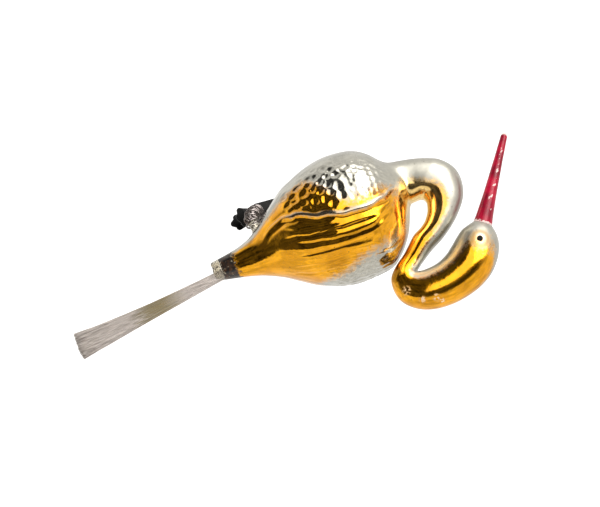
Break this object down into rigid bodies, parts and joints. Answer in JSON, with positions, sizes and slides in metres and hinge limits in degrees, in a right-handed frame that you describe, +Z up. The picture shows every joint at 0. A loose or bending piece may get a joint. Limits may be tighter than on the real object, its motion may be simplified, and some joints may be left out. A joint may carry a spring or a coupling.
{
  "type": "clip-on glass bird ornament",
  "caption": "Blown silvered-glass bird with a curved neck, long beak and spun-glass tail, on a soft steel coil and a sprung clip for a twig.",
  "frame": {"origin": "middle of the twig that the clip's jaws grip", "axes": "+X from the tail towards the bird's breast and beak, +Y to the bird's left, +Z up through the bird's back; the clip hangs bent over to the bird's right on its coil, its plates nearly upright"},
  "size_m": [0.1506, 0.0414, 0.0588],
  "materials": {
    "silvered_glass": "mirror silvering under partly worn gold lacquer",
    "red_lacquer": "glossy lacquer, chipped",
    "black_lacquer": "glossy dot of lacquer",
    "clear_glass": "clear, fire polished",
    "spun_glass": "fine parallel glass fibres, tinted in patches",
    "brown_glue": "aged hide glue",
    "spring_steel": "dull, slightly tarnished wire",
    "black_enamel": "black baked enamel"
  },
  "bodies": {
    "clip": {"clip_upper_plate": "black_enamel", "clip_pin": "spring_steel", "clip_spring": "spring_steel", "coil_rivet": "spring_steel"},
    "jaw": {"clip_lower_jaw": "black_enamel"},
    "coil": {"coil_spring": "spring_steel"},
    "bird": {"glass_bird": "silvered_glass", "beak": "red_lacquer", "left_eye": "black_lacquer", "right_eye": "black_lacquer", "mount_nub": "clear_glass", "tail_fibres": "spun_glass", "tail_glue": "brown_glue"}
  },
  "joints": [
    {"name": "jaw_open", "type": "hinge", "parent": "clip", "child": "jaw", "pos_m": [-0.00472, 0.0024, 0.00021], "axis": [0, 0.0872, -0.9962], "range_deg": [0, 25], "stiffness_Nm_per_rad": 0.02, "springref_deg": -28.65, "deforming": ["clip_spring"]},
    {"name": "bird_nod", "type": "hinge", "parent": "clip", "child": "coil", "pos_m": [-0.00552, 0.00829, 0.00082], "axis": [0, 0.0872, -0.9962], "range_deg": [-8, 4], "stiffness_Nm_per_rad": 0.06, "deforming": ["coil_spring"]},
    {"name": "bird_lean", "type": "hinge", "parent": "coil", "child": "bird", "pos_m": [-0.00749, 0.01273, 0.00328], "axis": [-1, 0, 0], "range_deg": [-4, 60], "stiffness_Nm_per_rad": 0.06, "deforming": ["coil_spring"]}
  ]
}
